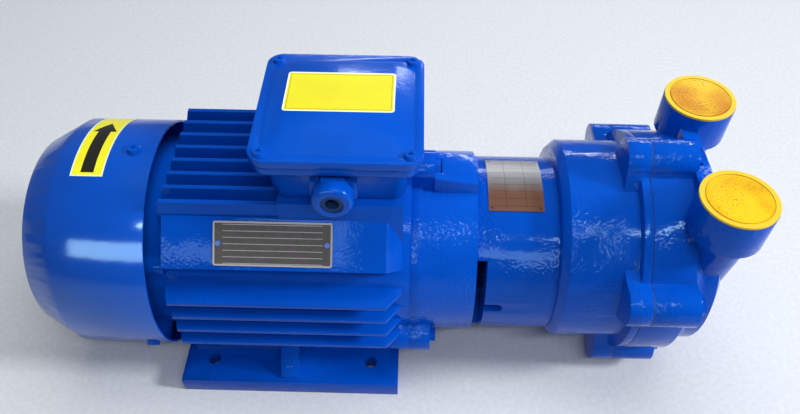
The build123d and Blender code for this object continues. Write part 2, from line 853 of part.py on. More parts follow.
# Shaft with its journals, rotor core with cast end rings, fan and circlip
shaft_start = fan_start - shaft_stub
with BuildPart() as shaft:
    with BuildSketch(upright(0)):
        with BuildLine():
            Polyline(
                (shaft_start, 0),
                (shaft_start, shaft_fan_radius),
                (fan_start + fan_hub_length, shaft_fan_radius),
                (fan_start + fan_hub_length, shaft_rear_radius),
                (rear_bearing_end, shaft_rear_radius),
                (rear_bearing_end, shaft_rotor_radius),
                (front_bearing_start, shaft_rotor_radius),
                (front_bearing_start, shaft_front_radius),
                (shaft_step, shaft_front_radius),
                (shaft_step, shaft_seal_radius),
                (eye_start, shaft_seal_radius),
                (eye_start, shaft_pump_radius),
                (eye_end - impeller_recess, shaft_pump_radius),
                (eye_end - impeller_recess, 0),
                close=True,
            )
        make_face()
    revolve(axis=shaft_axis)
    with BuildSketch(across(fan_start - circlip_width)):
        Circle(shaft_fan_radius)
        Circle(shaft_fan_radius - circlip_groove, mode=Mode.SUBTRACT)
    extrude(amount=-circlip_width, mode=Mode.SUBTRACT)
    with BuildSketch(level(shaft_pump_radius - key_depth)):
        with Locations((eye_start + key_start + key_length / 2, 0)):
            Rectangle(key_length, key_width)
    extrude(amount=key_depth, mode=Mode.SUBTRACT)
    with BuildSketch(across(eye_end - impeller_recess)):
        Circle(end_screw_radius)
    extrude(amount=-end_screw_reach, mode=Mode.SUBTRACT)
shaft.part.label = "shaft"

with BuildPart() as rotor_core:
    with BuildSketch(across(core_start)):
        Circle(rotor_radius)
        Circle(shaft_rotor_radius, mode=Mode.SUBTRACT)
    extrude(amount=core_end - core_start)
rotor_core.part.label = "rotor_core"

with BuildPart() as rotor_end_rings:
    for face_x, way in ((core_start, -1), (core_end, 1)):
        with BuildSketch(across(face_x)):
            Circle(rotor_radius - seal_running_clearance)
            Circle(rotor_radius - end_ring_thickness, mode=Mode.SUBTRACT)
        extrude(amount=way * end_ring_width)
        with BuildSketch(across(face_x + way * end_ring_width)):
            with PolarLocations(rotor_radius - end_ring_thickness / 2, end_ring_vanes):
                Rectangle(end_ring_thickness / 2, end_ring_vane)
        extrude(amount=way * end_ring_width / 2)
rotor_end_rings.part.label = "rotor_end_rings"

with BuildPart() as cooling_fan:
    with BuildSketch(across(fan_start)):
        Circle(fan_hub_radius)
    extrude(amount=fan_hub_length)
    with BuildSketch(across(fan_start + fan_hub_length - fan_disc_thickness)):
        Circle(fan_disc_radius)
    extrude(amount=fan_disc_thickness)
    with BuildSketch(across(fan_start + fan_hub_length - fan_blade_width)):
        with PolarLocations((fan_hub_radius + fan_tip_radius) / 2 - fan_blade_thickness, fan_blade_count):
            Rectangle(fan_tip_radius - fan_hub_radius + fan_blade_thickness, fan_blade_thickness)
    extrude(amount=fan_blade_width)
    with BuildSketch(across(fan_start)):
        Circle(shaft_fan_radius)
    extrude(amount=fan_hub_length, mode=Mode.SUBTRACT)
cooling_fan.part.label = "cooling_fan"

with BuildPart() as fan_circlip:
    with BuildSketch(across(fan_start - circlip_width)):
        Circle(shaft_fan_radius + circlip_width)
        Circle(shaft_fan_radius - circlip_groove, mode=Mode.SUBTRACT)
    extrude(amount=-circlip_width)
fan_circlip.part.label = "fan_circlip"

# Terminal box: tapered base on the saddle, gasket, bevelled lid, screws, board and studs
lid_under = lid_top - lid_rim
gland_x = box_center_x - gland_offset
base_top = lid_under - lid_gasket
with BuildPart() as terminal_box_base:
    with BuildSketch(level(saddle_height, box_center_x)):
        RectangleRounded(box_side_bottom, box_side_bottom, box_corner)
    with BuildSketch(level(base_top - box_flange, box_center_x)):
        RectangleRounded(box_side_top, box_side_top, box_corner)
    loft()
    with BuildSketch(level(base_top - box_flange, box_center_x)):
        RectangleRounded(box_flange_side, box_flange_side, box_corner)
    extrude(amount=box_flange)
    with BuildSketch(level(gland_height, gland_x)):
        with Locations((0, -(gland_face + box_wall) / 2)):
            Rectangle(2 * gland_boss_radius, gland_face - box_wall)
    extrude(amount=gland_boss_radius / 2, both=True)
    with BuildSketch(level(saddle_height + box_floor, box_center_x)):
        RectangleRounded(box_side_bottom - 2 * box_wall, box_side_bottom - 2 * box_wall, box_corner - box_wall)
    with BuildSketch(level(base_top, box_center_x)):
        RectangleRounded(box_side_bottom - 2 * box_wall, box_side_bottom - 2 * box_wall, box_corner - box_wall)
    loft(mode=Mode.SUBTRACT)
    for rail in (-1, 1):
        with BuildSketch(level(saddle_height + box_floor, box_center_x + rail * (board_length - board_rail) / 2)):
            Rectangle(board_rail, board_width)
        extrude(amount=board_rail)
    with BuildSketch(level(saddle_height, box_center_x)):
        Circle(wire_hole_dia / 2)
    extrude(amount=box_floor, mode=Mode.SUBTRACT)
    with BuildSketch(upright(-gland_face)):
        with Locations((gland_x, gland_height)):
            Circle(gland_thread_radius)
    extrude(amount=-gland_face + box_side_bottom / 4, mode=Mode.SUBTRACT)
    with BuildSketch(level(base_top, box_center_x)):
        with GridLocations(2 * lid_screw_offset, 2 * lid_screw_offset, 2, 2):
            Circle(lid_screw_shank)
    extrude(amount=-box_flange, mode=Mode.SUBTRACT)
terminal_box_base.part.label = "terminal_box_base"

with BuildPart() as terminal_box_gasket:
    with BuildSketch(level(base_top, box_center_x)):
        RectangleRounded(box_flange_side - end_gap, box_flange_side - end_gap, box_corner)
        RectangleRounded(lid_cavity_side, lid_cavity_side, box_corner - box_wall, mode=Mode.SUBTRACT)
        with GridLocations(2 * lid_screw_offset, 2 * lid_screw_offset, 2, 2):
            Circle(lid_screw_shank + bolt_clearance, mode=Mode.SUBTRACT)
    extrude(amount=lid_gasket)
terminal_box_gasket.part.label = "terminal_box_gasket"

with BuildPart() as terminal_box_lid:
    with BuildSketch(level(lid_under, box_center_x, lid_center_y)):
        RectangleRounded(lid_length, lid_width, lid_corner)
    extrude(amount=lid_rim)
    with BuildSketch(level(lid_top, box_center_x)):
        plateau_outline = Rectangle(plateau_side, plateau_side)
        chamfer(plateau_outline.vertices(), plateau_cut)
    extrude(amount=plateau_height, taper=plateau_taper)
    with BuildSketch(level(lid_under, box_center_x)):
        RectangleRounded(lid_recess_side, lid_recess_side, box_corner)
    extrude(amount=lid_cavity_depth, mode=Mode.SUBTRACT)
    with BuildSketch(level(lid_top, box_center_x)):
        with GridLocations(2 * lid_screw_offset, 2 * lid_screw_offset, 2, 2):
            Circle(lid_screw_shank + bolt_clearance)
    extrude(amount=-lid_rim, mode=Mode.SUBTRACT)
terminal_box_lid.part.label = "terminal_box_lid"

with BuildPart() as lid_screws:
    with BuildSketch(level(lid_top, box_center_x)):
        with GridLocations(2 * lid_screw_offset, 2 * lid_screw_offset, 2, 2):
            Circle(lid_screw_head)
    extrude(amount=lid_screw_rise, taper=pan_taper)
    with BuildSketch(level(lid_top, box_center_x)):
        with GridLocations(2 * lid_screw_offset, 2 * lid_screw_offset, 2, 2):
            Circle(lid_screw_shank - thread_clearance)
    extrude(amount=-lid_rim - lid_gasket - box_flange + end_gap)
    with BuildSketch(level(lid_top + lid_screw_rise, box_center_x)):
        with GridLocations(2 * lid_screw_offset, 2 * lid_screw_offset, 2, 2):
            Rectangle(drive_slot_length, drive_slot_width)
            Rectangle(drive_slot_width, drive_slot_length)
    extrude(amount=-drive_slot_depth, mode=Mode.SUBTRACT)
lid_screws.part.label = "lid_screws"

board_seat = saddle_height + box_floor + board_rail
with BuildPart() as terminal_board:
    with BuildSketch(level(board_seat, box_center_x)):
        RectangleRounded(board_length, board_width, stud_radius)
        with GridLocations(stud_pitch_x, stud_pitch_y, 3, 2):
            Circle(stud_radius, mode=Mode.SUBTRACT)
    extrude(amount=board_thickness)
terminal_board.part.label = "terminal_board"

with BuildPart() as terminal_studs:
    with BuildSketch(level(board_seat, box_center_x)):
        with GridLocations(stud_pitch_x, stud_pitch_y, 3, 2):
            Circle(stud_radius - thread_clearance)
    extrude(amount=board_thickness + stud_height)
    with BuildSketch(level(board_seat + board_thickness, box_center_x)):
        with GridLocations(stud_pitch_x, stud_pitch_y, 3, 2):
            RegularPolygon(2 * stud_radius, 6)
    extrude(amount=2 * stud_radius)
terminal_studs.part.label = "terminal_studs"

# Cable gland: hexagon body in the box wall, dome nut and rubber seal
with BuildPart() as cable_gland_body:
    with BuildSketch(upright(-gland_face)):
        with Locations((gland_x, gland_height)):
            RegularPolygon(gland_hex, 6)
    extrude(amount=gland_hex_length)
    with BuildSketch(upright(-gland_face)):
        with Locations((gland_x, gland_height)):
            Circle(gland_thread_radius - thread_clearance)
    extrude(amount=-gland_thread_reach)
    with BuildSketch(upright(-gland_face - gland_hex_length)):
        with Locations((gland_x, gland_height)):
            Circle(gland_bore_radius + gland_seal_wall)
    extrude(amount=-gland_hex_length - gland_thread_reach, mode=Mode.SUBTRACT)
cable_gland_body.part.label = "cable_gland_body"

with BuildPart() as cable_gland_nut:
    with BuildSketch(upright(-gland_face - gland_hex_length)):
        with Locations((gland_x, gland_height)):
            Circle(gland_nut_radius)
    extrude(amount=gland_nut_length)
    fillet(cable_gland_nut.faces().sort_by(Axis.Y)[0].edges(), gland_dome)
    with BuildSketch(upright(-gland_face - gland_hex_length)):
        with Locations((gland_x, gland_height)):
            Circle(gland_mouth_radius)
    extrude(amount=gland_nut_length, mode=Mode.SUBTRACT)
cable_gland_nut.part.label = "cable_gland_nut"

with BuildPart() as cable_gland_seal:
    with BuildSketch(upright(-gland_face - gland_hex_length)):
        with Locations((gland_x, gland_height)):
            Circle(gland_mouth_radius - seat_clearance)
            Circle(gland_bore_radius, mode=Mode.SUBTRACT)
    extrude(amount=gland_nut_length - gland_seal_inset)
cable_gland_seal.part.label = "cable_gland_seal"

# Blank rating plate on the −Y side pad, held by two rivets
pad_plane = Plane(origin=(0, -pad_distance * cos(radians(45)), axis_height + pad_distance * sin(radians(45))),
                  x_dir=(1, 0, 0), z_dir=(0, -cos(radians(45)), sin(radians(45))))
with BuildPart() as motor_nameplate:
    with BuildSketch(pad_plane):
        RectangleRounded(motor_plate_length, motor_plate_height, plate_corner)
        with GridLocations(motor_plate_length - plate_rivet_inset, 0, 2, 1):
            Circle(rivet_radius, mode=Mode.SUBTRACT)
    extrude(amount=plate_thickness)
motor_nameplate.part.label = "motor_nameplate"

with BuildPart() as motor_plate_rivets:
    with BuildSketch(pad_plane.offset(plate_thickness)):
        with GridLocations(motor_plate_length - plate_rivet_inset, 0, 2, 1):
            Circle(rivet_head_ratio * rivet_radius)
    extrude(amount=rivet_head, taper=pan_taper)
    with BuildSketch(pad_plane.offset(plate_thickness)):
        with GridLocations(motor_plate_length - plate_rivet_inset, 0, 2, 1):
            Circle(rivet_radius - thread_clearance)
    extrude(amount=-plate_thickness)
motor_plate_rivets.part.label = "motor_plate_rivets"

# Pump casing: lantern with drain windows, eccentric chamber, flange and five lugs
pump_axis = Axis((0, 0, axis_height + pump_rise), (1, 0, 0))
window_reach = drum_radius + lantern_wall
lantern_inner = lantern_radius - lantern_wall


lug_root = drum_radius - drum_chamfer


def pump_lugs():
    with BuildSketch() as lugs:
        with Locations((0, pump_rise)):
            with PolarLocations(0, pump_lug_count, start_angle=pump_lug_angle):
                Polygon((lug_root, -pump_lug_radius - pump_lug_flare), (pump_bolt_circle, -pump_lug_radius),
                        (pump_bolt_circle, pump_lug_radius), (lug_root, pump_lug_radius + pump_lug_flare),
                        align=None)
            with PolarLocations(pump_bolt_circle, pump_lug_count, start_angle=pump_lug_angle):
                Circle(pump_lug_radius)
    return lugs.sketch


with BuildPart() as pump_casing:
    with BuildSketch(across(shield_end)):
        with Locations((0, -lantern_drop)):
            Circle(lantern_radius)
    extrude(amount=back_wall_end - shield_end)
    with BuildSketch(upright(0)):
        with BuildLine():
            Polyline(
                (drum_start, pump_rise),
                (drum_start, pump_rise + drum_radius - drum_chamfer),
                (drum_start + drum_chamfer, pump_rise + drum_radius),
                (flange_start, pump_rise + drum_radius),
                (flange_start, pump_rise + flange_radius),
                (casing_face, pump_rise + flange_radius),
                (casing_face, pump_rise),
                close=True,
            )
        make_face()
    revolve(axis=pump_axis)
    with BuildSketch(across(casing_face)):
        add(pump_lugs())
    extrude(amount=-casing_lug_length)
    with BuildSketch(level(-drain_boss_drop, drain_plug_x)):
        Circle(drain_boss_radius)
    extrude(amount=drain_boss_drop - chamber_radius + chamber_rise)
    # lantern hollow, joint flange bore, seal bores and the chamber
    with BuildSketch(across(shield_end + joint_flange)):
        with Locations((0, -lantern_drop)):
            Circle(lantern_inner)
    extrude(amount=back_wall_start - shield_end - joint_flange, mode=Mode.SUBTRACT)
    with BuildSketch(across(shield_end)):
        Circle(shield_nose_bore)
    extrude(amount=joint_flange, mode=Mode.SUBTRACT)
    with BuildSketch(across(seal_boss_start)):
        Circle(seal_boss_radius)
    extrude(amount=back_wall_start - seal_boss_start)
    with BuildSketch(across(seal_boss_start)):
        Circle(shaft_seal_radius + seal_running_clearance)
    extrude(amount=seal_start - seal_boss_start, mode=Mode.SUBTRACT)
    with BuildSketch(across(seal_start)):
        Circle(seal_seat_radius + seat_clearance)
    extrude(amount=seal_seat_length, mode=Mode.SUBTRACT)
    with BuildSketch(across(seal_start + seal_seat_length)):
        Circle(seal_chamber_radius)
    extrude(amount=back_wall_end - seal_start - seal_seat_length, mode=Mode.SUBTRACT)
    with BuildSketch(across(back_wall_end)):
        with Locations((0, chamber_rise)):
            Circle(chamber_radius)
    extrude(amount=casing_face - back_wall_end, mode=Mode.SUBTRACT)
    with BuildSketch(across(casing_face)):
        with Locations((0, pump_rise)):
            Circle(port_plate_radius + seat_clearance)
    extrude(amount=-port_plate_thickness, mode=Mode.SUBTRACT)
    # drain windows beside the shield, with a narrow slot running on from each
    with BuildSketch(across(shield_end)):
        for side in (-1, 1):
            with BuildLine():
                Polyline(
                    (0, 0),
                    (side * window_reach * cos(radians(window_top_angle)),
                     window_reach * sin(radians(window_top_angle))),
                    (side * 2 * window_reach, 0),
                    (side * window_reach * cos(radians(window_bottom_angle)),
                     -window_reach * sin(radians(window_bottom_angle))),
                    close=True,
                )
            make_face()
    extrude(amount=window_width, mode=Mode.SUBTRACT)
    for side in (-1, 1):
        with BuildSketch(upright(side * lantern_radius)):
            with Locations((shield_end, -window_slot_drop)):
                SlotOverall(2 * (window_width + window_slot_length), window_slot_height)
        extrude(amount=2 * lantern_wall, both=True, mode=Mode.SUBTRACT)
    # holes for the joint screws, cover bolts and drain plug
    with BuildSketch(across(shield_end)):
        for screw_angle in joint_screw_angles:
            with PolarLocations(joint_screw_circle, 1, start_angle=screw_angle):
                Circle(joint_screw_radius + bolt_clearance)
    extrude(amount=joint_flange, mode=Mode.SUBTRACT)
    with BuildSketch(across(casing_face)):
        with Locations((0, pump_rise)):
            with PolarLocations(pump_bolt_circle, pump_lug_count, start_angle=pump_lug_angle):
                Circle(pump_bolt_radius)
    extrude(amount=-pump_bolt_reach, mode=Mode.SUBTRACT)
    with BuildSketch(level(-drain_boss_drop, drain_plug_x)):
        Circle(drain_plug_radius)
    extrude(amount=drain_boss_drop - chamber_radius + chamber_rise + lantern_wall, mode=Mode.SUBTRACT)
pump_casing.part.label = "pump_casing"

with BuildPart() as casing_screws:
    with BuildSketch(across(shield_end + joint_flange)):
        for screw_angle in joint_screw_angles:
            with PolarLocations(joint_screw_circle, 1, start_angle=screw_angle):
                Circle(joint_screw_head)
                RegularPolygon(joint_screw_radius, 6, mode=Mode.SUBTRACT)
    extrude(amount=2 * joint_screw_radius)
    with BuildSketch(across(shield_end + joint_flange)):
        for screw_angle in joint_screw_angles:
            with PolarLocations(joint_screw_circle, 1, start_angle=screw_angle):
                Circle(joint_screw_head)
    extrude(amount=joint_screw_radius)
    with BuildSketch(across(shield_end + joint_flange)):
        for screw_angle in joint_screw_angles:
            with PolarLocations(joint_screw_circle, 1, start_angle=screw_angle):
                Circle(joint_screw_radius - thread_clearance)
    extrude(amount=-joint_flange - shield_nose_plate + end_gap)
casing_screws.part.label = "casing_screws"

with BuildPart() as drain_plug:
    with BuildSketch(level(-drain_boss_drop, drain_plug_x)):
        Circle(drain_plug_radius - thread_clearance)
    extrude(amount=drain_plug_length)
    with BuildSketch(level(-drain_boss_drop, drain_plug_x)):
        RegularPolygon(drain_plug_radius / 2, 6)
    extrude(amount=drain_plug_length / 2, mode=Mode.SUBTRACT)
drain_plug.part.label = "drain_plug"

# Mechanical seal halves and the slinger on the shaft
with BuildPart() as seal_seat:
    with BuildSketch(across(seal_start)):
        Circle(seal_seat_radius)
        Circle(shaft_seal_radius + seal_running_clearance, mode=Mode.SUBTRACT)
    extrude(amount=seal_seat_length)
seal_seat.part.label = "seal_seat"

with BuildPart() as seal_head:
    with BuildSketch(upright(0)):
        with BuildLine():
            Polyline(
                (seal_start + seal_seat_length, shaft_seal_radius),
                (seal_start + seal_seat_length, seal_head_radius - cap_wall),
                (seal_start + seal_seat_length + slinger_width / 2, seal_head_radius - cap_wall),
                (seal_start + seal_seat_length + slinger_width / 2, seal_head_radius),
                (eye_start, seal_head_radius),
                (eye_start, shaft_seal_radius),
                close=True,
            )
        make_face()
    revolve(axis=shaft_axis)
seal_head.part.label = "seal_head"

with BuildPart() as slinger_ring:
    with BuildSketch(upright(0)):
        with BuildLine():
            Polyline(
                (slinger_start, shaft_seal_radius),
                (slinger_start, slinger_radius),
                (slinger_start + slinger_width / 3, slinger_radius),
                (slinger_start + slinger_width, (slinger_radius + shaft_seal_radius) / 2),
                (slinger_start + slinger_width, shaft_seal_radius),
                close=True,
            )
        make_face()
    revolve(axis=shaft_axis)
slinger_ring.part.label = "slinger_ring"

# Impeller: hub and back disc with forward-curved vanes
def vane_point(radius, turn, bow):
    return (radius * cos(radians(turn)) - bow * sin(radians(turn)),
            radius * sin(radians(turn)) + bow * cos(radians(turn)))


with BuildSketch() as vane_outline:
    with BuildLine():
        root_low = vane_point(impeller_hub_radius - impeller_disc, 0, -vane_thickness / 2)
        root_high = vane_point(impeller_hub_radius - impeller_disc, 0, vane_thickness / 2)
        tip_low = vane_point(impeller_radius, vane_lean, -vane_thickness / 2)
        tip_high = vane_point(impeller_radius, vane_lean, vane_thickness / 2)
        mid_radius = (impeller_hub_radius + impeller_radius) / 2
        mid_low = vane_point(mid_radius, vane_lean / 2, -vane_bow - vane_thickness / 2)
        mid_high = vane_point(mid_radius, vane_lean / 2, -vane_bow + vane_thickness / 2)
        ThreePointArc(root_low, mid_low, tip_low)
        Line(tip_low, tip_high)
        ThreePointArc(tip_high, mid_high, root_high)
        Line(root_high, root_low)
    make_face()

with BuildPart() as impeller:
    with BuildSketch(across(eye_start)):
        with PolarLocations(0, vane_count):
            add(vane_outline.sketch)
    extrude(amount=eye_end - eye_start)
    with BuildSketch(across(eye_start)):
        Circle(impeller_hub_radius)
    extrude(amount=eye_end - eye_start)
    with BuildSketch(across(eye_start)):
        Circle(impeller_radius)
    extrude(amount=impeller_disc)
    with BuildSketch(across(eye_start)):
        Circle(shaft_pump_radius + seat_clearance)
        with Locations((0, shaft_pump_radius)):
            Rectangle(key_width + thread_clearance, 2 * key_rise + thread_clearance)
    extrude(amount=eye_end - eye_start, mode=Mode.SUBTRACT)
    with BuildSketch(across(eye_end)):
        Circle(washer_radius + end_gap)
    extrude(amount=-impeller_recess, mode=Mode.SUBTRACT)
impeller.part.label = "impeller"

with BuildPart() as impeller_key:
    with BuildSketch(level(shaft_pump_radius - key_depth)):
        with Locations((eye_start + key_start + key_length / 2, 0)):
            SlotOverall(key_length, key_width)
    extrude(amount=key_depth + key_rise)
impeller_key.part.label = "impeller_key"

with BuildPart() as impeller_washer:
    with BuildSketch(across(eye_end - impeller_recess)):
        Circle(washer_radius)
        Circle(end_screw_radius, mode=Mode.SUBTRACT)
    extrude(amount=washer_thickness)
impeller_washer.part.label = "impeller_washer"

with BuildPart() as impeller_screw:
    with BuildSketch(across(eye_end - impeller_recess + washer_thickness)):
        RegularPolygon(end_screw_head, 6, major_radius=False)
    extrude(amount=end_screw_rise)
    with BuildSketch(across(eye_end - impeller_recess + washer_thickness)):
        Circle(end_screw_radius - thread_clearance)
    extrude(amount=-washer_thickness - end_screw_reach + end_gap)
impeller_screw.part.label = "impeller_screw"

# Port plate with its crescent ports and relief holes, the flap over them and its stop
with BuildLine() as suction_arc:
    CenterArc((0, 0), suction_port_radius, -suction_port_sweep / 2, suction_port_sweep)
with BuildLine() as discharge_arc:
    CenterArc((0, 0), discharge_port_radius, discharge_port_angle - discharge_port_sweep / 2,
              discharge_port_sweep)
with BuildLine() as relief_arc:
    CenterArc((0, 0), relief_hole_circle, relief_start, relief_sweep)
relief_step = relief_sweep / (relief_hole_count + 1)

with BuildPart() as port_plate:
    with BuildSketch(across(plate_start)):
        with Locations((0, pump_rise)):
            Circle(port_plate_radius)
        SlotArc(suction_arc.edges()[0], suction_port_width, mode=Mode.SUBTRACT)
        SlotArc(discharge_arc.edges()[0], discharge_port_width, mode=Mode.SUBTRACT)
        for hole in range(relief_hole_count):
            with PolarLocations(relief_hole_circle, 1, start_angle=relief_start + relief_step * (hole + 1)):
                Circle(relief_hole_dia / 2, mode=Mode.SUBTRACT)
        for edge_turn in (relief_start, relief_start + relief_sweep):
            with PolarLocations(relief_hole_circle, 1, start_angle=edge_turn):
                Circle(valve_screw_radius, mode=Mode.SUBTRACT)
        Circle(service_feed_radius, mode=Mode.SUBTRACT)
    extrude(amount=port_plate_thickness)
port_plate.part.label = "port_plate"

with BuildPart() as valve_flap:
    with BuildSketch(across(casing_face)):
        SlotArc(relief_arc.edges()[0], flap_width)
        for edge_turn in (relief_start, relief_start + relief_sweep):
            with PolarLocations(relief_hole_circle, 1, start_angle=edge_turn):
                Circle(valve_screw_radius + bolt_clearance, mode=Mode.SUBTRACT)
    extrude(amount=flap_thickness)
valve_flap.part.label = "valve_flap"

with BuildPart() as valve_stop:
    with BuildSketch(across(casing_face + flap_thickness)):
        SlotArc(relief_arc.edges()[0], flap_width - stop_thickness)
        for edge_turn in (relief_start, relief_start + relief_sweep):
            with PolarLocations(relief_hole_circle, 1, start_angle=edge_turn):
                Circle(valve_screw_radius + bolt_clearance, mode=Mode.SUBTRACT)
    extrude(amount=stop_thickness)
valve_stop.part.label = "valve_stop"

with BuildPart() as valve_screws:
    with BuildSketch(across(casing_face + flap_thickness + stop_thickness)):
        for edge_turn in (relief_start, relief_start + relief_sweep):
            with PolarLocations(relief_hole_circle, 1, start_angle=edge_turn):
                Circle(valve_screw_head)
    extrude(amount=valve_screw_rise)
    with BuildSketch(across(casing_face + flap_thickness + stop_thickness)):
        for edge_turn in (relief_start, relief_start + relief_sweep):
            with PolarLocations(relief_hole_circle, 1, start_angle=edge_turn):
                Circle(valve_screw_radius - thread_clearance)
    extrude(amount=-flap_thickness - stop_thickness - port_plate_thickness + end_gap)
valve_screws.part.label = "valve_screws"

# Gasket of the parting line: the flange's outline with a strip under the partition
pocket_radius = cover_body_radius - cover_wall
with BuildPart() as cover_gasket:
    with BuildSketch(across(casing_face)):
        with Locations((0, pump_rise)):
            Circle(flange_radius - gasket_thickness)
        add(pump_lugs())
        with Locations((0, pump_rise)):
            with PolarLocations(pump_bolt_circle, pump_lug_count, start_angle=pump_lug_angle):
                Circle(pump_bolt_radius + bolt_clearance, mode=Mode.SUBTRACT)
        with Locations((0, pump_rise)):
            Circle(pocket_radius, mode=Mode.SUBTRACT)
        with Locations((0, pump_rise)):
            Rectangle(cover_partition, 2 * pocket_radius + gasket_thickness)
        Circle(service_post_radius)
        Circle(service_feed_radius, mode=Mode.SUBTRACT)
    extrude(amount=gasket_thickness)
cover_gasket.part.label = "cover_gasket"

# Pump cover: rim with lugs, two chambers, bevelled nozzle collars and their legs
with BuildPart() as pump_cover:
    with BuildSketch(upright(0)):
        with BuildLine():
            rim_corner = (cover_rim_end, pump_rise + flange_radius)
            neck_corner = (cover_body_start, pump_rise + cover_body_radius)
            neck_middle = (cover_rim_end + (cover_body_start - cover_rim_end) / 3,
                           pump_rise + cover_body_radius + (flange_radius - cover_body_radius) / 3)
            Polyline((cover_nose, pump_rise), (cover_face, pump_rise),
                     (cover_face, pump_rise + flange_radius), rim_corner)
            ThreePointArc(rim_corner, neck_middle, neck_corner)
            Polyline(neck_corner, (cover_body_end, pump_rise + cover_body_radius),
                     (cover_nose, pump_rise + cover_nose_radius), (cover_nose, pump_rise))
        make_face()
    revolve(axis=pump_axis)
    with BuildSketch(across(cover_face)):
        add(pump_lugs())
    extrude(amount=cover_lug_length)
    with BuildSketch(upright(web_half_width)):
        with BuildLine():
            Polyline(
                (cover_rim_end, 0),
                (web_front, 0),
                (web_front, web_front_top),
                (cover_body_start, web_top),
                (cover_rim_end, web_top),
                close=True,
            )
        make_face()
    extrude(amount=2 * web_half_width)
    with BuildSketch(across(cover_face + cover_lug_length)):
        with Locations((0, pump_rise)):
            with PolarLocations(pump_bolt_circle, pump_lug_count, start_angle=pump_lug_angle):
                Circle(web_pocket / 2)
                with Locations((web_pocket / 2, 0)):
                    Rectangle(web_pocket, web_pocket)
    extrude(amount=web_front - cover_face - cover_lug_length, mode=Mode.SUBTRACT)
    for side in (-1, 1):
        with BuildSketch(level(collar_bottom, nozzle_x, side * nozzle_y)):
            Circle(nozzle_radius)
        extrude(amount=nozzle_top - collar_bottom)
        with BuildSketch(level(collar_bottom, nozzle_x, side * nozzle_y)):
            Circle(nozzle_radius)
        with BuildSketch(level(collar_bottom - collar_bevel, nozzle_x, side * nozzle_y)):
            Circle(leg_top_radius)
        loft()
        with BuildSketch(level(collar_bottom - collar_bevel, nozzle_x, side * nozzle_y)):
            Circle(leg_top_radius)
        with BuildSketch(level(leg_bottom, leg_bottom_x, side * leg_bottom_y)):
            Circle(leg_bottom_radius)
        loft()
    # chambers either side of the partition, opened by the ports from above
    with BuildSketch(across(cover_face)):
        with Locations((0, pump_rise)):
            Circle(pocket_radius)
            Rectangle(cover_partition, 2 * flange_radius, mode=Mode.SUBTRACT)
        Circle(service_post_radius, mode=Mode.SUBTRACT)
    extrude(amount=cover_nose - cover_wall - cover_face, mode=Mode.SUBTRACT)
    for side in (-1, 1):
        with BuildSketch(level(nozzle_top, nozzle_x, side * nozzle_y)):
            Circle(port_mouth_radius)
        extrude(amount=-port_mouth_depth, mode=Mode.SUBTRACT)
        with BuildSketch(level(nozzle_top - port_mouth_depth, nozzle_x, side * nozzle_y)):
            Circle(port_thread_radius)
        extrude(amount=-port_thread_length, mode=Mode.SUBTRACT)
        with BuildSketch(level(nozzle_top - port_mouth_depth - port_thread_length, nozzle_x, side * nozzle_y)):
            Circle(port_throat_radius)
        extrude(amount=port_throat_bottom - nozzle_top + port_mouth_depth + port_thread_length, mode=Mode.SUBTRACT)
        with BuildSketch(level(port_throat_bottom, port_duct_x, side * nozzle_y)):
            Circle(port_duct_radius)
        extrude(amount=port_duct_bottom - port_throat_bottom, mode=Mode.SUBTRACT)
    # service liquid connection in the middle of the nose, and the bolt holes
    with BuildSketch(across(cover_nose)):
        Circle(service_port_radius)
    extrude(amount=-service_port_depth, mode=Mode.SUBTRACT)
    with BuildSketch(across(cover_nose - service_port_depth)):
        Circle(service_feed_radius)
    extrude(amount=cover_face - cover_nose + service_port_depth, mode=Mode.SUBTRACT)
    with BuildSketch(across(cover_face)):
        with Locations((0, pump_rise)):
            with PolarLocations(pump_bolt_circle, pump_lug_count, start_angle=pump_lug_angle):
                Circle(pump_bolt_radius + bolt_clearance)
    extrude(amount=cover_lug_length, mode=Mode.SUBTRACT)
pump_cover.part.label = "pump_cover"

with BuildPart() as cover_bolts:
    with BuildSketch(across(cover_face + cover_lug_length)):
        with Locations((0, pump_rise)):
            with PolarLocations(pump_bolt_circle, pump_lug_count, start_angle=pump_lug_angle):
                RegularPolygon(pump_bolt_head, 6, major_radius=False)
    extrude(amount=pump_bolt_head_height)
    with BuildSketch(across(cover_face + cover_lug_length)):
        with Locations((0, pump_rise)):
            with PolarLocations(pump_bolt_circle, pump_lug_count, start_angle=pump_lug_angle):
                Circle(pump_bolt_radius - thread_clearance)
    extrude(amount=-cover_lug_length - gasket_thickness - pump_bolt_reach + end_gap)
cover_bolts.part.label = "cover_bolts"

# Blank plate bent round the lantern
pump_plate_middle = (pump_plate_low + pump_plate_high) / 2


def plate_corner_point(turn):
    return (2 * lantern_radius * cos(radians(turn)), 2 * lantern_radius * sin(radians(turn)))


with BuildPart() as pump_nameplate:
    with BuildSketch(across(pump_plate_start)):
        with Locations((0, -lantern_drop)):
            Circle(lantern_radius + seat_clearance + plate_thickness)
            Circle(lantern_radius + seat_clearance, mode=Mode.SUBTRACT)
            Polygon((0, 0), plate_corner_point(pump_plate_low), plate_corner_point(pump_plate_middle),
                    plate_corner_point(pump_plate_high), align=None, mode=Mode.INTERSECT)
    extrude(amount=pump_plate_length)
pump_nameplate.part.label = "pump_nameplate"

